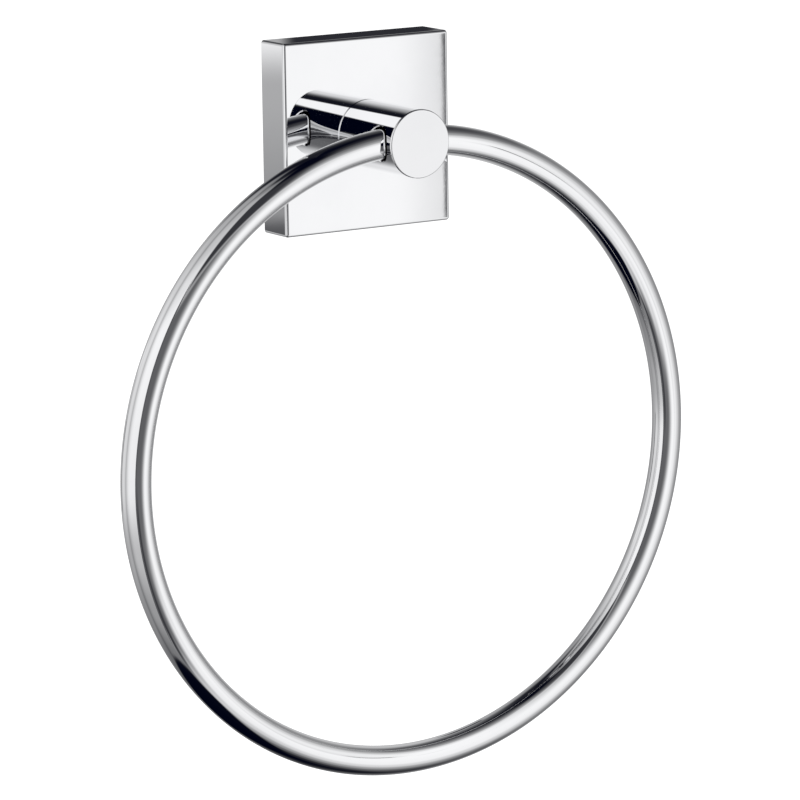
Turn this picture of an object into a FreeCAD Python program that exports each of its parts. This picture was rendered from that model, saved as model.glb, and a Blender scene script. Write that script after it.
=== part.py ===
import FreeCAD, Part
import math
import os

# Towel ring for a wall: a square hollow cover plate that clamps on a wall bracket,
# a short round post, and a round ring whose two ends sit in the sides of the post.
# All sizes are in mm. The origin is the centre of the plate's back, on the wall.
# +X is to the right, +Y goes into the wall and +Z is up, so the room lies towards -Y.

# Cover plate, a square shell that is open at the wall
plate_side = 48.0
plate_depth = 10.5
plate_wall = 2.0
plate_front = 3.0
plate_edge_radius = 0.8
plate_inner_radius = 1.5

# Post, a turned bar that stands on the front of the plate
post_diameter = 17.0
post_length = 24.0
post_front_chamfer = 0.4
post_back_chamfer = 0.3
spigot_diameter = 10.0
spigot_radial_clearance = 0.1
spigot_end_room = 0.4
thread_depth = 9.5
drill_point_angle = 118.0
web_thickness = 2.4
bore_mouth_chamfer = 0.25

# Ring, a round rod bent to a circle that is left open inside the post
ring_radius = 78.0
rod_diameter = 7.5
ring_setback = 6.3
rod_end_room = 0.4
rod_end_chamfer = 0.6
swing_clearance = 0.3

# Wall bracket, a plate with bevelled top and bottom edges that the cover hooks on
bracket_front_room = 2.0
bracket_side_room = 2.0
bracket_edge_room = 4.5
bracket_bevel = 2.6
bracket_corner_radius = 2.5
wall_screw_spacing = 27.0
wall_screw_hole = 4.5
wall_screw_head = 8.6
wall_screw_rim = 0.3

# Hook ledge inside the top of the cover
ledge_wall_room = 0.6
ledge_reach = 3.4

# Screw that pulls the post on to the plate from behind
post_screw_diameter = 6.0
post_screw_length = 12.0
post_screw_head_diameter = 10.0
post_screw_head_height = 3.3
post_screw_head_chamfer = 0.6
post_screw_socket = 4.0
post_screw_socket_depth = 2.0
screw_head_room = 1.5
washer_diameter = 13.0
washer_thickness = 1.2
washer_radial_clearance = 0.2

# Set screw in the underside of the cover, which locks it on the bracket
set_screw_diameter = 5.0
set_screw_point_diameter = 1.6
set_screw_socket = 2.5
set_screw_socket_depth = 2.5
set_screw_recess = 0.6
set_screw_end_chamfer = 0.4
set_screw_tip_gap = 0.05
set_screw_setback = 3.2
boss_width = 9.0
boss_height = 3.0
boss_wall_room = 0.3
boss_corner_radius = 2.0

# Threads are plain: a screw is this much smaller in radius than its hole
thread_clearance = 0.05
# How far a cutting tool runs past the face that it opens
overrun = 1.0

# Sizes that follow from the ones above
half_side = plate_side / 2
inner_half = half_side - plate_wall
plate_front_y = -plate_depth
cavity_front_y = plate_front_y + plate_front
post_radius = post_diameter / 2
post_end_y = plate_front_y - post_length
rod_radius = rod_diameter / 2
ring_plane_y = post_end_y + ring_setback
rod_end_x = web_thickness / 2 + rod_end_room
rod_sagitta = ring_radius - math.sqrt(ring_radius ** 2 - post_radius ** 2)
ring_centre_z = rod_sagitta / 2 - ring_radius
bore_radius = rod_radius + rod_sagitta / 2 + swing_clearance
bracket_thickness = plate_depth - plate_front - bracket_front_room
bracket_half_width = inner_half - bracket_side_room
bracket_front_half = inner_half - bracket_edge_room
bracket_back_half = bracket_front_half - bracket_bevel
bracket_front_y = -bracket_thickness
washer_back_y = cavity_front_y + washer_thickness
bracket_opening = post_screw_head_diameter + 2 * screw_head_room

right = FreeCAD.Vector(1, 0, 0)
to_wall = FreeCAD.Vector(0, 1, 0)
to_room = FreeCAD.Vector(0, -1, 0)
up = FreeCAD.Vector(0, 0, 1)


def cylinder(radius, length, start, direction):
    return Part.makeCylinder(radius, length, FreeCAD.Vector(*start), direction)


def block(low, high):
    size = [high[i] - low[i] for i in range(3)]
    return Part.makeBox(size[0], size[1], size[2], FreeCAD.Vector(*low))


def prism_across(profile, half_width):
    """A profile of (y, z) points, pushed across the object from -X to +X."""
    points = [FreeCAD.Vector(-half_width, y, z) for y, z in profile]
    face = Part.Face(Part.makePolygon(points + points[:1]))
    return face.extrude(right * (2 * half_width))


def turned(profile, base, direction):
    """A profile of (radius, height) points, turned about a line through base."""
    points = [FreeCAD.Vector(r, 0, h) for r, h in profile]
    face = Part.Face(Part.makePolygon(points + points[:1]))
    solid = face.revolve(FreeCAD.Vector(0, 0, 0), up, 360)
    turn = FreeCAD.Rotation(up, direction)
    solid.Placement = FreeCAD.Placement(FreeCAD.Vector(*base), turn)
    return solid


def hex_socket(across_flats, depth, mouth, inward):
    """A hexagonal key socket that goes inward from the middle of its mouth."""
    corner = across_flats / math.sqrt(3)
    points = []
    for step in range(6):
        angle = math.radians(60 * step)
        points.append(FreeCAD.Vector(corner * math.cos(angle), corner * math.sin(angle), 0))
    face = Part.Face(Part.makePolygon(points + points[:1]))
    solid = face.extrude(up * depth)
    turn = FreeCAD.Rotation(up, inward)
    solid.Placement = FreeCAD.Placement(FreeCAD.Vector(*mouth), turn)
    return solid


def bevel_half_height(y):
    """Half the bracket's height at depth y: it narrows from its front to the wall."""
    share = -y / bracket_thickness
    return bracket_back_half + bracket_bevel * share


def hook_ledge():
    """The bar under the cover's top wall, which lies on the bracket's upper bevel."""
    near_y = -ledge_wall_room
    far_y = -(ledge_wall_room + ledge_reach)
    profile = [
        (near_y, half_side - plate_wall / 2),
        (near_y, bevel_half_height(near_y)),
        (far_y, bevel_half_height(far_y)),
        (far_y, half_side - plate_wall / 2),
    ]
    return prism_across(profile, inner_half + plate_wall / 2)


def set_screw_boss():
    """The thick place in the cover's bottom wall, which gives the thread its length."""
    far_y = boss_wall_room - 2 * set_screw_setback
    low = (-boss_width / 2, far_y, -half_side + plate_wall / 2)
    high = (boss_width / 2, -boss_wall_room, -inner_half + boss_height)
    boss = block(low, high)
    corners = [edge for edge in boss.Edges if edge.BoundBox.ZLength > boss_height / 2]
    return boss.makeFillet(boss_corner_radius, corners)


def cover_plate():
    """The hollow square plate, with its hook ledge, set screw boss and post hole."""
    shell = block((-half_side, plate_front_y, -half_side), (half_side, 0, half_side))
    outer = [edge for edge in shell.Edges if edge.BoundBox.YMin < plate_front_y / 2]
    shell = shell.makeFillet(plate_edge_radius, outer)
    cavity = block((-inner_half, cavity_front_y, -inner_half), (inner_half, overrun, inner_half))
    corners = [edge for edge in cavity.Edges if edge.BoundBox.YLength > plate_depth / 2]
    cavity = cavity.makeFillet(plate_inner_radius, corners)
    shell = shell.cut(cavity).fuse([hook_ledge(), set_screw_boss()])
    spigot_hole = cylinder(
        spigot_diameter / 2 + spigot_radial_clearance,
        plate_front + 2 * overrun,
        (0, plate_front_y - overrun, 0),
        to_wall,
    )
    set_screw_hole = cylinder(
        set_screw_diameter / 2,
        plate_wall + boss_height + 2 * overrun,
        (0, -set_screw_setback, -half_side - overrun),
        up,
    )
    return shell.cut([spigot_hole, set_screw_hole]).removeSplitter()


def post():
    """The turned post, with a spigot and thread behind and a blind bore in each side."""
    spigot_radius = spigot_diameter / 2
    spigot_length = plate_front - spigot_end_room
    body = turned(
        [
            (0, -spigot_length),
            (spigot_radius, -spigot_length),
            (spigot_radius, 0),
            (post_radius - post_back_chamfer, 0),
            (post_radius, post_back_chamfer),
            (post_radius, post_length - post_front_chamfer),
            (post_radius - post_front_chamfer, post_length),
            (0, post_length),
        ],
        (0, plate_front_y, 0),
        to_room,
    )
    bores = []
    for side in (1, -1):
        start = (side * web_thickness / 2, ring_plane_y, 0)
        bores.append(cylinder(bore_radius, post_radius + overrun, start, right * side))
    body = body.cut(bores)
    # the bores' mouths are the only edges here that are neither straight nor round
    mouths = [edge for edge in body.Edges if isinstance(edge.Curve, Part.BSplineCurve)]
    body = body.makeChamfer(bore_mouth_chamfer, mouths)
    thread_radius = post_screw_diameter / 2
    point_height = thread_radius / math.tan(math.radians(drill_point_angle / 2))
    drilled = turned(
        [
            (0, -spigot_length - overrun),
            (thread_radius, -spigot_length - overrun),
            (thread_radius, thread_depth),
            (0, thread_depth + point_height),
        ],
        (0, plate_front_y, 0),
        to_room,
    )
    return body.cut(drilled)


def ring():
    """The rod bent to a circle, open at the top where its ends sit in the post."""
    centre = FreeCAD.Vector(0, ring_plane_y, ring_centre_z)
    half_gap = math.degrees(math.asin(rod_end_x / ring_radius))
    start = centre + up * ring_radius
    section = Part.Face(Part.Wire(Part.makeCircle(rod_radius, start, right)))
    section.rotate(centre, to_wall, half_gap)
    rod = section.revolve(centre, to_wall, 360 - 2 * half_gap)
    ends = [edge for edge in rod.Edges if edge.BoundBox.XLength < rod_radius]
    return rod.makeChamfer(rod_end_chamfer, ends)


def wall_bracket():
    """The plate that is screwed to the wall, wider at its front than at the wall."""
    profile = [
        (0, -bracket_back_half),
        (bracket_front_y, -bracket_front_half),
        (bracket_front_y, bracket_front_half),
        (0, bracket_back_half),
    ]
    plate = prism_across(profile, bracket_half_width)
    corners = [
        edge
        for edge in plate.Edges
        if edge.BoundBox.YLength > bracket_thickness / 2 and edge.BoundBox.XLength < overrun
    ]
    plate = plate.makeFillet(bracket_corner_radius, corners)
    cuts = [
        cylinder(
            bracket_opening / 2,
            bracket_thickness + 2 * overrun,
            (0, bracket_front_y - overrun, 0),
            to_wall,
        )
    ]
    hole_radius = wall_screw_hole / 2
    head_radius = wall_screw_head / 2
    cone_height = head_radius - hole_radius
    for side in (1, -1):
        countersunk = [
            (0, -overrun),
            (head_radius, -overrun),
            (head_radius, wall_screw_rim),
            (hole_radius, wall_screw_rim + cone_height),
            (hole_radius, bracket_thickness + overrun),
            (0, bracket_thickness + overrun),
        ]
        base = (side * wall_screw_spacing / 2, bracket_front_y, 0)
        cuts.append(turned(countersunk, base, to_wall))
    return plate.cut(cuts)


def post_washer():
    """The flat washer between the post screw's head and the inside of the plate."""
    base = (0, cavity_front_y, 0)
    disc = cylinder(washer_diameter / 2, washer_thickness, base, to_wall)
    hole_radius = post_screw_diameter / 2 + washer_radial_clearance
    hole = cylinder(hole_radius, washer_thickness, base, to_wall)
    return disc.cut(hole)


def post_screw():
    """The screw from behind the plate into the post, with a key socket in its head."""
    shank = cylinder(
        post_screw_diameter / 2 - thread_clearance,
        post_screw_length,
        (0, washer_back_y, 0),
        to_room,
    )
    head_radius = post_screw_head_diameter / 2
    head = turned(
        [
            (0, 0),
            (head_radius, 0),
            (head_radius, post_screw_head_height - post_screw_head_chamfer),
            (head_radius - post_screw_head_chamfer, post_screw_head_height),
            (0, post_screw_head_height),
        ],
        (0, washer_back_y, 0),
        to_wall,
    )
    head_top_y = washer_back_y + post_screw_head_height
    socket = hex_socket(post_screw_socket, post_screw_socket_depth, (0, head_top_y, 0), to_room)
    return head.fuse(shank).cut(socket).removeSplitter()


def set_screw():
    """The headless screw that presses up on the bracket's lower bevel."""
    radius = set_screw_diameter / 2 - thread_clearance
    point_radius = set_screw_point_diameter / 2
    contact_y = -set_screw_setback - point_radius
    tip_z = -bevel_half_height(contact_y) - set_screw_tip_gap
    base_z = -half_side + set_screw_recess
    length = tip_z - base_z
    profile = [
        (0, 0),
        (radius - set_screw_end_chamfer, 0),
        (radius, set_screw_end_chamfer),
        (radius, length - (radius - point_radius)),
        (point_radius, length),
        (0, length),
    ]
    base = (0, -set_screw_setback, base_z)
    return turned(profile, base, up).cut(
        hex_socket(set_screw_socket, set_screw_socket_depth, base, up)
    )


pieces = {
    "cover_plate": cover_plate,
    "post": post,
    "ring": ring,
    "wall_bracket": wall_bracket,
    "post_washer": post_washer,
    "post_screw": post_screw,
    "set_screw": set_screw,
}

os.makedirs("parts", exist_ok=True)
for name, make in pieces.items():
    shape = make()
    solid = shape.Solids[0]
    print(name, "solids", len(shape.Solids), "valid", solid.isValid(), "mm3", round(solid.Volume, 2))
    solid.exportStep("parts/" + name + ".step")
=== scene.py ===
import math

import bmesh
import bpy
from mathutils import Matrix, Vector


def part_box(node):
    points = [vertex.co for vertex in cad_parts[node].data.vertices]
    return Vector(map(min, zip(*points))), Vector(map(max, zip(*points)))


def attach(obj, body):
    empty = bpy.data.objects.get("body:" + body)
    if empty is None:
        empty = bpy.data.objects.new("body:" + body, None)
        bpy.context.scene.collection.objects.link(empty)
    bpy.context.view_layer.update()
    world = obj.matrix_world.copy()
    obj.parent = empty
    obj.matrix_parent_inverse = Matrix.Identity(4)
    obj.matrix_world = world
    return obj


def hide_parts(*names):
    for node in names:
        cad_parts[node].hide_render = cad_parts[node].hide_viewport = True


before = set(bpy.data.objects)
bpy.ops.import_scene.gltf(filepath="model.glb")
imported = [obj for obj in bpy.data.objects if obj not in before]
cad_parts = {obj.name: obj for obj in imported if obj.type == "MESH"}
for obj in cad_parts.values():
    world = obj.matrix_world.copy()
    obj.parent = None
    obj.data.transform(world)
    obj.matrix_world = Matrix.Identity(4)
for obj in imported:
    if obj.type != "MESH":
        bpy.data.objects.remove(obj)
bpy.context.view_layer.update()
mm = 0.001
print("frame loaded, nodes:", ", ".join(sorted(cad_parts)))


# Small helpers for meshes

joinDistance = 0.001 * mm  # points nearer than this are one
sliver = 0.002 * mm  # the same after a cut, where edges nearly meet


def makeObject(name, bm):
    bmesh.ops.recalc_face_normals(bm, faces=bm.faces)
    mesh = bpy.data.meshes.new(name)
    bm.to_mesh(mesh)
    bm.free()
    piece = bpy.data.objects.new(name, mesh)
    bpy.context.scene.collection.objects.link(piece)
    return piece


def bake(piece):
    # no live modifier is left on the piece
    graph = bpy.context.evaluated_depsgraph_get()
    finished = bpy.data.meshes.new_from_object(piece.evaluated_get(graph))
    piece.modifiers.clear()
    piece.data = finished


def carve(piece, tool):
    # cuts the tool out of the piece, and clears the slivers that this leaves
    cut = piece.modifiers.new("cut", "BOOLEAN")
    cut.operation = "DIFFERENCE"
    cut.solver = "EXACT"
    cut.object = tool
    bake(piece)
    bpy.data.objects.remove(tool)
    bm = bmesh.new()
    bm.from_mesh(piece.data)
    bmesh.ops.remove_doubles(bm, verts=bm.verts, dist=sliver)
    bmesh.ops.dissolve_degenerate(bm, edges=bm.edges, dist=sliver)
    bm.to_mesh(piece.data)
    bm.free()


def smoothByAngle(piece, degrees):
    # round faces shade smoothly, and an edge sharper than this stays an edge
    for face in piece.data.polygons:
        face.use_smooth = True
    piece.data.set_sharp_from_angle(angle=math.radians(degrees))
    weighted = piece.modifiers.new("faceWeight", "WEIGHTED_NORMAL")
    weighted.keep_sharp = True
    weighted.weight = 100
    bake(piece)


def turnedBody(profile, steps):
    # a list of (radius, y) points spun round the Y axis
    bm = bmesh.new()
    points = [bm.verts.new((radius, y, 0)) for radius, y in profile]
    line = [bm.edges.new(pair) for pair in zip(points, points[1:])]
    bmesh.ops.spin(
        bm, geom=points + line, cent=(0, 0, 0), axis=(0, 1, 0), angle=math.tau, steps=steps,
        use_merge=True,
    )
    bmesh.ops.remove_doubles(bm, verts=bm.verts, dist=joinDistance)
    return bm


# Small helpers for materials

def newMaterial(name):
    material = bpy.data.materials.new(name)
    material.use_nodes = True
    tree = material.node_tree
    tree.nodes.clear()
    return material, tree


def addNode(tree, kind, **settings):
    node = tree.nodes.new(kind)
    for key, value in settings.items():
        setattr(node, key, value)
    return node


def mathNode(tree, operation, first, second=None, third=None):
    node = addNode(tree, "ShaderNodeMath", operation=operation)
    for socket, value in zip(node.inputs, (first, second, third)):
        if value is None:
            continue
        if isinstance(value, (int, float)):
            socket.default_value = value
        else:
            tree.links.new(value, socket)
    return node.outputs[0]


def mapRange(tree, value, fromLow, fromHigh, toLow, toHigh, smooth=False):
    node = addNode(tree, "ShaderNodeMapRange")
    node.interpolation_type = "SMOOTHSTEP" if smooth else "LINEAR"
    for socket, number in zip(node.inputs[1:5], (fromLow, fromHigh, toLow, toHigh)):
        socket.default_value = number
    tree.links.new(value, node.inputs[0])
    return node.outputs[0]


def noise(tree, coordinates, scale, detail=2.0, roughness=0.5):
    node = addNode(tree, "ShaderNodeTexNoise")
    node.inputs["Scale"].default_value = scale
    node.inputs["Detail"].default_value = detail
    node.inputs["Roughness"].default_value = roughness
    tree.links.new(coordinates, node.inputs["Vector"])
    return node.outputs["Fac"]


def stretched(tree, coordinates, scale):
    node = addNode(tree, "ShaderNodeMapping")
    node.inputs["Scale"].default_value = scale
    tree.links.new(coordinates, node.inputs["Vector"])
    return node.outputs["Vector"]


# where in the cloud of smudges the second tint and the rougher patches begin and are full
smudgeTint = (0.35, 0.7)
smudgeRough = (0.4, 0.75)


def metal(name, look):
    # tint and roughness with their smudges, and a faint ripple and grain
    material, tree = newMaterial(name)
    coordinates = addNode(tree, "ShaderNodeTexCoord").outputs["Object"]
    grain = stretched(tree, coordinates, look["grainStretch"])
    shader = addNode(tree, "ShaderNodeBsdfPrincipled")
    output = addNode(tree, "ShaderNodeOutputMaterial")
    tree.links.new(shader.outputs[0], output.inputs["Surface"])
    shader.inputs["Metallic"].default_value = 1.0
    shader.inputs["Anisotropic"].default_value = look["anisotropic"]

    cloud = noise(tree, coordinates, look["smudgeScale"], detail=4.0, roughness=0.6)
    fine = noise(tree, grain, look["grainScale"], detail=3.0, roughness=0.6)
    tint = addNode(tree, "ShaderNodeMix", data_type="RGBA")
    tint.inputs[6].default_value = (*look["tint"], 1)
    tint.inputs[7].default_value = (*look["tintDeep"], 1)
    tree.links.new(mapRange(tree, cloud, *smudgeTint, 0.0, 1.0, True), tint.inputs["Factor"])
    tree.links.new(tint.outputs[2], shader.inputs["Base Color"])

    smudge = mapRange(tree, cloud, *smudgeRough, look["roughLow"], look["roughHigh"], True)
    rough = mathNode(tree, "MULTIPLY_ADD", fine, look["grainRough"], smudge)
    tree.links.new(rough, shader.inputs["Roughness"])

    ripple = addNode(tree, "ShaderNodeBump")
    ripple.inputs["Distance"].default_value = look["rippleHeight"]
    tree.links.new(noise(tree, coordinates, look["rippleScale"], detail=1.0), ripple.inputs["Height"])
    scratch = addNode(tree, "ShaderNodeBump")
    scratch.inputs["Distance"].default_value = look["grainHeight"]
    tree.links.new(fine, scratch.inputs["Height"])
    tree.links.new(ripple.outputs[0], scratch.inputs["Normal"])
    tree.links.new(scratch.outputs[0], shader.inputs["Normal"])
    return material


def dress(piece, material, body, node):
    piece.data.materials.clear()
    piece.data.materials.append(material)
    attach(piece, body)
    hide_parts(node)
    print("dressed", piece.name)


# Finishes

chromeLook = {
    "tint": (0.905, 0.907, 0.915),
    "tintDeep": (0.88, 0.883, 0.893),
    "anisotropic": 0.0,
    "smudgeScale": 45.0,
    "grainScale": 900.0,
    "grainStretch": (1, 1, 1),
    "grainRough": 0.012,
    "roughLow": 0.012,
    "roughHigh": 0.035,
    "rippleScale": 60.0,
    "rippleHeight": 0.000006,
    "grainHeight": 0.0000004,
}
bracketLook = {
    "tint": (0.60, 0.60, 0.58),
    "tintDeep": (0.50, 0.50, 0.49),
    "anisotropic": 0.3,
    "smudgeScale": 120.0,
    "grainScale": 500.0,
    "grainStretch": (0.15, 1, 4),
    "grainRough": 0.16,
    "roughLow": 0.26,
    "roughHigh": 0.40,
    "rippleScale": 200.0,
    "rippleHeight": 0.00001,
    "grainHeight": 0.00001,
}
screwLook = {
    "tint": (0.66, 0.67, 0.68),
    "tintDeep": (0.56, 0.56, 0.52),
    "anisotropic": 0.0,
    "smudgeScale": 300.0,
    "grainScale": 1500.0,
    "grainStretch": (1, 1, 1),
    "grainRough": 0.10,
    "roughLow": 0.18,
    "roughHigh": 0.32,
    "rippleScale": 400.0,
    "rippleHeight": 0.000004,
    "grainHeight": 0.000003,
}
chrome = metal("polishedChrome", chromeLook)
bracketSteel = metal("satinBracketSteel", bracketLook)
screwSteel = metal("zincScrewSteel", screwLook)
print("finishes made")


# The ring: a round rod bent to a circle, open where it sits in the post

ringSize = {
    "rodSteps": 72,
    "bendSteps": 420,
    "endGap": 3.2 * mm,  # between the two ends, inside the post
    "endChamfer": 0.6 * mm,
    "chamferSteps": 2,
    "smoothAngle": 30,  # in degrees
}


def makeRing():
    low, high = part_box("ring")
    rodRadius = (high.y - low.y) / 2
    bendRadius = (high.x - low.x) / 2 - rodRadius
    centre = Vector((0, (high.y + low.y) / 2, low.z + rodRadius + bendRadius))
    halfGap = math.asin(ringSize["endGap"] / 2 / bendRadius)
    bm = bmesh.new()
    place = Matrix.Translation(centre) @ Matrix.Rotation(halfGap, 4, "Y")
    place = place @ Matrix.Translation((0, 0, bendRadius)) @ Matrix.Rotation(math.pi / 2, 4, "Y")
    bmesh.ops.create_circle(bm, segments=ringSize["rodSteps"], radius=rodRadius, matrix=place)
    bmesh.ops.spin(
        bm, geom=bm.verts[:] + bm.edges[:], cent=centre, axis=(0, 1, 0),
        angle=math.tau - 2 * halfGap, steps=ringSize["bendSteps"],
    )
    rims = [edge for edge in bm.edges if edge.is_boundary]
    bmesh.ops.holes_fill(bm, edges=rims, sides=0)
    bmesh.ops.bevel(
        bm, geom=rims, offset=ringSize["endChamfer"], segments=ringSize["chamferSteps"], profile=0.5,
        affect="EDGES", material=-1,
    )
    piece = makeObject("ring_rod", bm)
    smoothByAngle(piece, ringSize["smoothAngle"])
    return piece


dress(makeRing(), chrome, "swinging_ring", "ring")


# The post: turned, with a spigot behind and a blind bore in each side

postSize = {
    "turnSteps": 256,
    "boreSteps": 96,
    "threadHoleSteps": 64,
    "frontRound": 0.4 * mm,
    "roundSteps": 5,
    "footChamfer": 0.3 * mm,
    "spigotRadius": 5.0 * mm,
    "threadHoleRadius": 3.0 * mm,
    "threadHoleDepth": 9.5 * mm,
    "boreRadius": 4.28 * mm,
    "web": 2.4 * mm,
    "boreEdge": 0.25 * mm,
    "ringSetback": 6.3 * mm,  # from the end face to the bores
    "overrun": 1 * mm,  # how far a cutter reaches out of the post
    "smoothAngle": 8,  # small, so that the end face stays flat
}


def boreCutter(radius, side, boreY):
    # its outer end follows the post's skin and widens there, which bevels the bore's mouth
    bore, edge, inner = postSize["boreRadius"], postSize["boreEdge"], postSize["web"] / 2
    beyond = postSize["overrun"]
    bm = turnedBody(
        [
            (0, inner),
            (bore, inner),
            (bore, radius - edge),
            (bore + edge + beyond, radius + beyond),
            (0, radius + beyond),
        ],
        postSize["boreSteps"],
    )
    for corner in bm.verts:
        if corner.co.y > radius / 2:
            corner.co.y -= radius - math.sqrt(radius ** 2 - corner.co.z ** 2)
    place = Matrix.Translation((0, boreY, 0)) @ Matrix.Rotation(-side * math.pi / 2, 4, "Z")
    bmesh.ops.transform(bm, matrix=place, verts=bm.verts)
    return makeObject("cutter", bm)


def threadHoleCutter(spigotEnd, foot):
    size = postSize
    depth = size["threadHoleDepth"] + spigotEnd - foot
    length = depth + size["overrun"]
    place = Matrix.Translation((0, spigotEnd + size["overrun"] - length / 2, 0))
    place = place @ Matrix.Rotation(-math.pi / 2, 4, "X")
    bm = bmesh.new()
    bmesh.ops.create_cone(
        bm, cap_ends=True, segments=size["threadHoleSteps"], radius1=size["threadHoleRadius"],
        radius2=size["threadHoleRadius"], depth=length, matrix=place,
    )
    return makeObject("cutter", bm)


def makePost():
    low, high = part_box("post")
    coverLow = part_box("cover_plate")[0]
    radius = high.z
    front, foot, spigotEnd = low.y, coverLow.y, high.y
    size = postSize
    bm = turnedBody(
        [
            (0, spigotEnd),
            (size["spigotRadius"], spigotEnd),
            (size["spigotRadius"], foot),
            (radius - size["footChamfer"], foot),
            (radius, foot - size["footChamfer"]),
            (radius, front),
            (0, front),
        ],
        size["turnSteps"],
    )
    rim = [
        edge for edge in bm.edges
        if all(v.co.y < front + sliver and v.co.xz.length > radius - sliver for v in edge.verts)
    ]
    bmesh.ops.bevel(
        bm, geom=rim, offset=size["frontRound"], segments=size["roundSteps"], profile=0.5,
        affect="EDGES", material=-1,
    )
    piece = makeObject("post_body", bm)
    for side in (-1, 1):
        carve(piece, boreCutter(radius, side, front + size["ringSetback"]))
    carve(piece, threadHoleCutter(spigotEnd, foot))
    smoothByAngle(piece, size["smoothAngle"])
    return piece


dress(makePost(), chrome, "wall_mount", "post")


# The other nodes keep their shape and get their finish

smoothAngles = {  # in degrees
    "cover_plate": 40,
    "wall_bracket": 30,
    "post_washer": 30,
    "post_screw": 30,
    "set_screw": 30,
}
flatAngle = 0.5  # faces that turn fewer degrees than this against each other become one


def mergedCopy(node, name):
    # the node's own form, with its loose triangles joined so that it shades smoothly
    bm = bmesh.new()
    bm.from_mesh(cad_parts[node].data)
    bmesh.ops.remove_doubles(bm, verts=bm.verts, dist=joinDistance)
    bmesh.ops.dissolve_limit(
        bm, angle_limit=math.radians(flatAngle), verts=bm.verts, edges=bm.edges, delimit={"NORMAL"}
    )
    piece = makeObject(name, bm)
    smoothByAngle(piece, smoothAngles[node])
    return piece


coverPlate = mergedCopy("cover_plate", "cover_shell")
wallBracket = mergedCopy("wall_bracket", "bracket_plate")
postWasher = mergedCopy("post_washer", "washer_disc")
dress(coverPlate, chrome, "wall_mount", "cover_plate")
dress(wallBracket, bracketSteel, "wall_mount", "wall_bracket")
dress(postWasher, screwSteel, "wall_mount", "post_washer")


# The two screws keep their shape too, and get their threads

threadSize = {
    "steps": 44,  # to one turn
    "flank": 30,  # in degrees, to each side of the groove
    "depth": 0.6134,  # this and the next two are shares of the pitch
    "halfRoot": 0.0625,
    "outside": 0.1,
    "smoothAngle": 25,
    "postScrew": {
        "radius": 2.95 * mm,
        "pitch": 1.0 * mm,
        "headHeight": 3.3 * mm,
        "plainShank": 1.2 * mm,
    },
    "setScrew": {"radius": 2.45 * mm, "pitch": 0.8 * mm},
}


def cutThread(piece, screw, start, end):
    # a groove that climbs round the screw's axis from start to end
    pitch, radius = screw["pitch"], screw["radius"]
    deep, outside = threadSize["depth"] * pitch, threadSize["outside"] * pitch
    halfRoot = threadSize["halfRoot"] * pitch
    halfMouth = halfRoot + (deep + outside) * math.tan(math.radians(threadSize["flank"]))
    bm = bmesh.new()
    corners = [
        bm.verts.new(place) for place in (
            (radius - deep, 0, -halfRoot),
            (radius - deep, 0, halfRoot),
            (radius + outside, 0, halfMouth),
            (radius + outside, 0, -halfMouth),
        )
    ]
    section = [bm.edges.new(pair) for pair in zip(corners, corners[1:] + corners[:1])]
    rise = end - start
    turns = rise.length / pitch
    steps = round(turns * threadSize["steps"])
    bmesh.ops.spin(
        bm, geom=corners + section, cent=(0, 0, 0), axis=(0, 0, 1), dvec=(0, 0, rise.length / steps),
        angle=math.tau * turns, steps=steps,
    )
    rims = [edge for edge in bm.edges if edge.is_boundary]
    bmesh.ops.holes_fill(bm, edges=rims, sides=0)
    turn = Vector((0, 0, 1)).rotation_difference(rise).to_matrix().to_4x4()
    bmesh.ops.transform(bm, matrix=Matrix.Translation(start) @ turn, verts=bm.verts)
    carve(piece, makeObject("cutter", bm))
    smoothByAngle(piece, threadSize["smoothAngle"])


def makePostScrew():
    low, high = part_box("post_screw")
    screw = threadSize["postScrew"]
    piece = mergedCopy("post_screw", "post_screw_body")
    start = Vector((0, low.y - screw["pitch"], 0))
    end = Vector((0, high.y - screw["headHeight"] - screw["plainShank"], 0))
    cutThread(piece, screw, start, end)
    return piece


def makeSetScrew():
    low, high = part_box("set_screw")
    screw = threadSize["setScrew"]
    piece = mergedCopy("set_screw", "set_screw_body")
    middle = (low + high) / 2
    start = Vector((middle.x, middle.y, low.z - screw["pitch"]))
    end = Vector((middle.x, middle.y, high.z + screw["pitch"]))
    cutThread(piece, screw, start, end)
    return piece


dress(makePostScrew(), screwSteel, "wall_mount", "post_screw")
dress(makeSetScrew(), screwSteel, "wall_mount", "set_screw")


# Studio: a pale floor, and a light tent and a card that only the bright metal sees

studio = {
    "tentCentre": (0, -28 * mm, -78 * mm),
    "tentRadius": 320 * mm,
    "tentSteps": (96, 48),  # round and up
    "tentStrength": 1.1,
    "tentTint": (0.0, 0.0006, 0.006),  # a trace of blue, which shows in the dark parts
    "floorHeight": -0.42,
    "floorSize": 8.0,
    "floorColour": (0.86, 0.86, 0.86),
    "floorGlow": 0.42,
    "worldStrength": 0.85,
    "lampSize": 1.2,
    "lampPower": 18.0,
    "lampPlace": (-0.5, -0.7, 1.3),
}

# the tent's tone round the horizon: azimuth 0 is the room side, +90 is to the right
horizon = [
    (-180, 0.60), (-165, 0.68), (-148, 0.79), (-135, 0.84), (-122, 0.87), (-112, 0.82), (-105, 0.70),
    (-99, 0.82), (-88, 0.93), (-78, 0.96), (0, 0.94), (35, 0.97), (50, 0.93), (65, 0.82), (80, 0.66),
    (95, 0.55), (108, 0.54), (135, 0.74), (145, 0.74), (155, 0.64), (168, 0.52), (180, 0.60),
]
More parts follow.
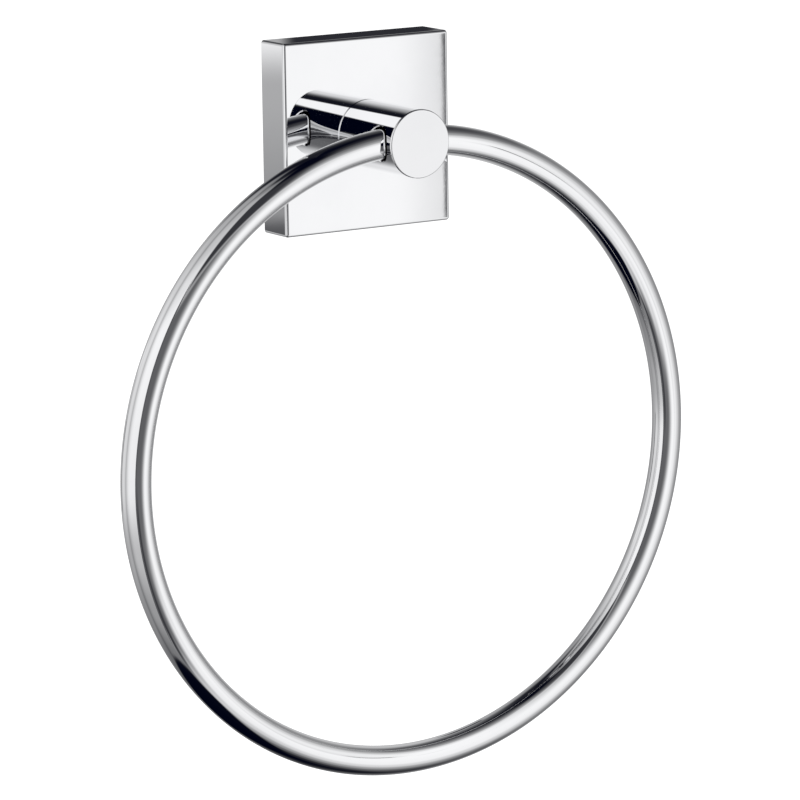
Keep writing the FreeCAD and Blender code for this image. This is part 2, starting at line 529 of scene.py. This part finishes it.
# how much of that tone is left towards the ground and the top, on the left and on the right
heightsLeft = [
    (-90, 0.03), (-57, 0.04), (-53, 0.07), (-50, 0.48), (-38, 0.62), (-24, 0.76), (-8, 0.97), (30, 1.0),
    (42, 0.92), (55, 0.80), (68, 0.70), (75, 0.52), (80, 0.16), (85, 0.04), (90, 0.04),
]
heightsRight = [
    (-90, 0.05), (-78, 0.18), (-68, 0.40), (-58, 0.62), (-45, 0.86), (-30, 0.98), (0, 1.0), (24, 1.0),
    (34, 0.90), (44, 0.66), (54, 0.50), (66, 0.32), (76, 0.16), (84, 0.08), (90, 0.06),
]
leftSide = {"azimuth": (-168, -30), "soft": (30, 50)}

# darker and lighter panels on the tent: from and to which azimuth and elevation in degrees, how
# soft the left edge, the right edge and the two level edges are, and the tone
panels = {
    "cameraStand": {
        "azimuth": (-46, 5), "elevation": (-20, 30),
        "soft": (3, 46, 12), "tone": 0.37,
    },
    "cameraLegs": {
        "azimuth": (-46, -8), "elevation": (-40, -8),
        "soft": (3, 34, 12), "tone": 0.40,
    },
    "cameraFoot": {
        "azimuth": (-46, -31), "elevation": (-47, -12),
        "soft": (6, 14, 10), "tone": 0.23,
    },
    "floorShade": {
        "azimuth": (-54, -17), "elevation": (-80, -51),
        "soft": (14, 14, 5), "tone": 0.05,
    },
    "cameraTop": {
        "azimuth": (-42, 4), "elevation": (33, 66),
        "soft": (10, 22, 10), "tone": 0.22,
    },
    "topShade": {
        "azimuth": (-34, 14), "elevation": (65, 100),
        "soft": (18, 24, 12), "tone": 0.05,
    },
    "backShadeLeft": {
        "azimuth": (-200, -160), "elevation": (44, 100),
        "soft": (4, 26, 26), "tone": 0.10,
    },
    "backShadeRight": {
        "azimuth": (164, 200), "elevation": (44, 100),
        "soft": (16, 4, 26), "tone": 0.14,
    },
    "plateFade": {
        "azimuth": (36.9, 44), "elevation": (-10, 14),
        "soft": (3.6, 8, 6), "tone": 0.89,
    },
    "plateEdge": {
        "azimuth": (38.12, 39.2), "elevation": (0.5, 12),
        "soft": (0.28, 0.4, 1.5), "tone": 0.38,
    },
    "topFaceFlag": {
        "azimuth": (145.4, 154.6), "elevation": (22, 34),
        "soft": (1.6, 1.3, 4), "tone": 0.18,
    },
    "sideFace": {
        "azimuth": (-150, -143), "elevation": (-12, 18),
        "soft": (3, 3, 3), "tone": 0.66,
    },
    "sideFaceTop": {
        "azimuth": (-150, -143), "elevation": (11.4, 18),
        "soft": (3, 3, 3), "tone": 0.94,
    },
    "sideFaceShade": {
        "azimuth": (-150, -143), "elevation": (-14, 6),
        "soft": (3, 3, 8), "tone": 0.56,
    },
    "sideFaceFoot": {
        "azimuth": (-150, -143), "elevation": (-14, 2.2),
        "soft": (3, 3, 1.2), "tone": 0.34,
    },
}
# the same, seen only by light that meets two mirrors, as the post's does by way of the plate
postPanels = {
    "postFade": {
        "azimuth": (1, 17), "elevation": (39, 62),
        "soft": (3, 18, 10), "tone": 0.10,
    },
    "postLight": {
        "azimuth": (-34, 0), "elevation": (40.8, 60),
        "soft": (3, 3, 2), "tone": 1.0,
    },
    "postShade": {
        "azimuth": (-44, -20), "elevation": (16, 40.8),
        "soft": (4, 4, 2), "tone": 0.02,
    },
}

# a round patch that the post's end face mirrors: its middle and its half widths in degrees
endPatch = {
    "azimuth": 32.06,
    "elevation": 6.11,
    "halfWidth": 1.62,
    "halfHeight": 1.93,
    "rim": 1.25,  # squared distance at which its soft rim ends
    "tone": 0.933,
}

# a flat card inside the tent: middle, the way it faces, its lean in degrees, width, height and tone
standEdge = {
    "middle": (-180 * mm, -208 * mm, -90 * mm),
    "faces": (1, 0.04, 0),
    "lean": 5,
    "size": (64 * mm, 500 * mm),
    "tone": 0.34,
}


def rampOf(tree, value, stops, low, high):
    node = addNode(tree, "ShaderNodeValToRGB")
    ramp = node.color_ramp
    ramp.interpolation = "EASE"
    while len(ramp.elements) < len(stops):
        ramp.elements.new(0.5)
    for element, (place, tone) in zip(ramp.elements, stops):
        element.position = (place - low) / (high - low)
        element.color = (tone, tone, tone, 1)
    tree.links.new(mapRange(tree, value, low, high, 0, 1), node.inputs[0])
    return node.outputs[0]


def between(tree, value, ends, softStart, softEnd):
    # 1 between the two ends and 0 beyond them, with a soft edge at each
    start, end = ends
    rise = mapRange(tree, value, start - softStart / 2, start + softStart / 2, 0, 1, True)
    fall = mapRange(tree, value, end - softEnd / 2, end + softEnd / 2, 1, 0, True)
    return mathNode(tree, "MULTIPLY", rise, fall)


def blendTones(tree, share, first, second):
    node = addNode(tree, "ShaderNodeMix", data_type="FLOAT")
    tree.links.new(share, node.inputs[0])
    tree.links.new(first, node.inputs[2])
    if isinstance(second, (int, float)):
        node.inputs[3].default_value = second
    else:
        tree.links.new(second, node.inputs[3])
    return node.outputs[0]


eyeCurve = 2.2  # from a tone on the screen to an amount of light


def glowing(tree, tone):
    light = mathNode(tree, "POWER", tone, eyeCurve)
    tinted = addNode(tree, "ShaderNodeVectorMath", operation="ADD")
    tree.links.new(light, tinted.inputs[0])
    tinted.inputs[1].default_value = studio["tentTint"]
    glow = addNode(tree, "ShaderNodeEmission")
    glow.inputs["Strength"].default_value = studio["tentStrength"]
    tree.links.new(tinted.outputs[0], glow.inputs["Color"])
    output = addNode(tree, "ShaderNodeOutputMaterial")
    tree.links.new(glow.outputs[0], output.inputs["Surface"])


def onlyInReflections(piece):
    piece.visible_camera = False
    piece.visible_diffuse = False
    piece.visible_shadow = False
    piece.visible_transmission = False


def tentAngles(tree):
    # azimuth and elevation in degrees of a place on the tent, seen from its middle
    coordinates = addNode(tree, "ShaderNodeTexCoord").outputs["Object"]
    centred = addNode(tree, "ShaderNodeVectorMath", operation="SUBTRACT")
    centred.inputs[1].default_value = studio["tentCentre"]
    tree.links.new(coordinates, centred.inputs[0])
    direction = addNode(tree, "ShaderNodeVectorMath", operation="NORMALIZE")
    tree.links.new(centred.outputs[0], direction.inputs[0])
    split = addNode(tree, "ShaderNodeSeparateXYZ")
    tree.links.new(direction.outputs[0], split.inputs[0])
    x, y, z = split.outputs
    toRoom = mathNode(tree, "MULTIPLY", y, -1.0)
    azimuth = mathNode(tree, "MULTIPLY", mathNode(tree, "ARCTAN2", x, toRoom), 180 / math.pi)
    elevation = mathNode(tree, "MULTIPLY", mathNode(tree, "ARCSINE", z), 180 / math.pi)
    return azimuth, elevation


def panelShare(tree, azimuth, elevation, panel):
    softStart, softEnd, softLevel = panel["soft"]
    across = between(tree, azimuth, panel["azimuth"], softStart, softEnd)
    upright = between(tree, elevation, panel["elevation"], softLevel, softLevel)
    return mathNode(tree, "MULTIPLY", across, upright)


def patchShare(tree, azimuth, elevation, patch):
    # 1 within the oval and 0 beyond its soft rim
    across = mathNode(tree, "SUBTRACT", azimuth, patch["azimuth"])
    across = mathNode(tree, "DIVIDE", across, patch["halfWidth"])
    upright = mathNode(tree, "SUBTRACT", elevation, patch["elevation"])
    upright = mathNode(tree, "DIVIDE", upright, patch["halfHeight"])
    squared = mathNode(tree, "MULTIPLY", upright, upright)
    squared = mathNode(tree, "MULTIPLY_ADD", across, across, squared)
    return mapRange(tree, squared, 1.0, patch["rim"], 1, 0, True)


def makeTent():
    bm = bmesh.new()
    around, upward = studio["tentSteps"]
    bmesh.ops.create_uvsphere(
        bm, u_segments=around, v_segments=upward, radius=studio["tentRadius"],
        matrix=Matrix.Translation(studio["tentCentre"]),
    )
    tent = makeObject("light_tent", bm)
    for face in tent.data.polygons:
        face.use_smooth = True
    material, tree = newMaterial("tentLight")
    azimuth, elevation = tentAngles(tree)
    onLeft = between(tree, azimuth, leftSide["azimuth"], *leftSide["soft"])
    onTheRight = rampOf(tree, elevation, heightsRight, -90, 90)
    onTheLeft = rampOf(tree, elevation, heightsLeft, -90, 90)
    fading = blendTones(tree, onLeft, onTheRight, onTheLeft)
    tone = mathNode(tree, "MULTIPLY", rampOf(tree, azimuth, horizon, -180, 180), fading)
    # counts 1 where the light met one mirror and 2 where it met two
    mirrors = addNode(tree, "ShaderNodeLightPath").outputs["Glossy Depth"]
    twoMirrors = mathNode(tree, "GREATER_THAN", mirrors, 1.5)
    for panel in panels.values():
        tone = blendTones(tree, panelShare(tree, azimuth, elevation, panel), tone, panel["tone"])
    for panel in postPanels.values():
        share = mathNode(tree, "MULTIPLY", panelShare(tree, azimuth, elevation, panel), twoMirrors)
        tone = blendTones(tree, share, tone, panel["tone"])
    tone = blendTones(tree, patchShare(tree, azimuth, elevation, endPatch), tone, endPatch["tone"])
    glowing(tree, tone)
    tent.data.materials.append(material)
    onlyInReflections(tent)


def makeCard():
    bm = bmesh.new()
    bmesh.ops.create_grid(bm, x_segments=1, y_segments=1, size=0.5)
    turn = Vector(standEdge["faces"]).to_track_quat("Z", "Y").to_matrix().to_4x4()
    turn = turn @ Matrix.Rotation(math.radians(standEdge["lean"]), 4, "Z")
    bmesh.ops.scale(bm, vec=(*standEdge["size"], 1), verts=bm.verts)
    bmesh.ops.transform(bm, matrix=Matrix.Translation(standEdge["middle"]) @ turn, verts=bm.verts)
    piece = makeObject("standEdge", bm)
    material, tree = newMaterial("standEdgeLight")
    tone = addNode(tree, "ShaderNodeValue")
    tone.outputs[0].default_value = standEdge["tone"]
    glowing(tree, tone.outputs[0])
    piece.data.materials.append(material)
    onlyInReflections(piece)


def makeFloor():
    bm = bmesh.new()
    bmesh.ops.create_grid(
        bm, x_segments=1, y_segments=1, size=studio["floorSize"] / 2,
        matrix=Matrix.Translation((0, 0, studio["floorHeight"])),
    )
    floor = makeObject("studio_floor", bm)
    material, tree = newMaterial("paleFloor")
    paint = addNode(tree, "ShaderNodeBsdfDiffuse")
    paint.inputs["Color"].default_value = (*studio["floorColour"], 1)
    glow = addNode(tree, "ShaderNodeEmission")
    seen = addNode(tree, "ShaderNodeLightPath").outputs["Is Camera Ray"]
    tree.links.new(mathNode(tree, "MULTIPLY", seen, studio["floorGlow"]), glow.inputs["Strength"])
    both = addNode(tree, "ShaderNodeAddShader")
    tree.links.new(paint.outputs[0], both.inputs[0])
    tree.links.new(glow.outputs[0], both.inputs[1])
    # clear from below, so that the object can be looked at from there too
    fromBelow = addNode(tree, "ShaderNodeNewGeometry").outputs["Backfacing"]
    oneSided = addNode(tree, "ShaderNodeMixShader")
    tree.links.new(fromBelow, oneSided.inputs[0])
    tree.links.new(both.outputs[0], oneSided.inputs[1])
    tree.links.new(addNode(tree, "ShaderNodeBsdfTransparent").outputs[0], oneSided.inputs[2])
    output = addNode(tree, "ShaderNodeOutputMaterial")
    tree.links.new(oneSided.outputs[0], output.inputs["Surface"])
    floor.data.materials.append(material)


def makeWorld():
    world = bpy.data.worlds.new("studioWorld")
    world.use_nodes = True
    tree = world.node_tree
    tree.nodes.clear()
    path = addNode(tree, "ShaderNodeLightPath")
    shown = mathNode(tree, "MAXIMUM", path.outputs["Is Camera Ray"], path.outputs["Is Glossy Ray"])
    shown = mathNode(tree, "MAXIMUM", shown, path.outputs["Is Transmission Ray"])
    strength = mapRange(tree, shown, 0, 1, studio["worldStrength"], 1)
    background = addNode(tree, "ShaderNodeBackground")
    background.inputs["Color"].default_value = (1, 1, 1, 1)
    tree.links.new(strength, background.inputs["Strength"])
    output = addNode(tree, "ShaderNodeOutputWorld")
    tree.links.new(background.outputs[0], output.inputs["Surface"])
    bpy.context.scene.world = world


def makeLamp():
    light = bpy.data.lights.new("softBox", "AREA")
    light.size = studio["lampSize"]
    light.energy = studio["lampPower"]
    lamp = bpy.data.objects.new("softBox", light)
    bpy.context.scene.collection.objects.link(lamp)
    lamp.location = studio["lampPlace"]
    toObject = Vector(studio["tentCentre"]) - lamp.location
    lamp.rotation_euler = toObject.to_track_quat("-Z", "Y").to_euler()
    lamp.visible_glossy = False


makeTent()
makeCard()
makeFloor()
makeWorld()
makeLamp()
print("studio built")


# Camera at the photograph's angle

cameraView = {
    "azimuth": -32.4,
    "elevation": 11.1,
    "roll": -0.8,
    "distance": 1.2,
    "target": (15.0 * mm, 0, -70.75 * mm),
    "lens": 212.5,
    "sensor": 36.0,
    "clip": (0.01, 50),
}


def makeCamera():
    data = bpy.data.cameras.new("photoCamera")
    data.lens = cameraView["lens"]
    data.sensor_width = cameraView["sensor"]
    data.clip_start, data.clip_end = cameraView["clip"]
    azimuth = math.radians(cameraView["azimuth"])
    elevation = math.radians(cameraView["elevation"])
    roll = math.radians(cameraView["roll"])
    toSide = math.sin(azimuth) * math.cos(elevation)
    toFront = math.cos(azimuth) * math.cos(elevation)
    back = Vector((toSide, -toFront, math.sin(elevation)))
    level = Vector((math.cos(azimuth), math.sin(azimuth), 0))
    upright = back.cross(level)
    right = level * math.cos(roll) + upright * math.sin(roll)
    up = upright * math.cos(roll) - level * math.sin(roll)
    camera = bpy.data.objects.new("photoCamera", data)
    bpy.context.scene.collection.objects.link(camera)
    turn = Matrix((right, up, back)).transposed().to_4x4()
    place = Vector(cameraView["target"]) + back * cameraView["distance"]
    camera.matrix_world = Matrix.Translation(place) @ turn
    bpy.context.scene.camera = camera


makeCamera()
bpy.context.scene.view_settings.view_transform = "Standard"
print("camera set")
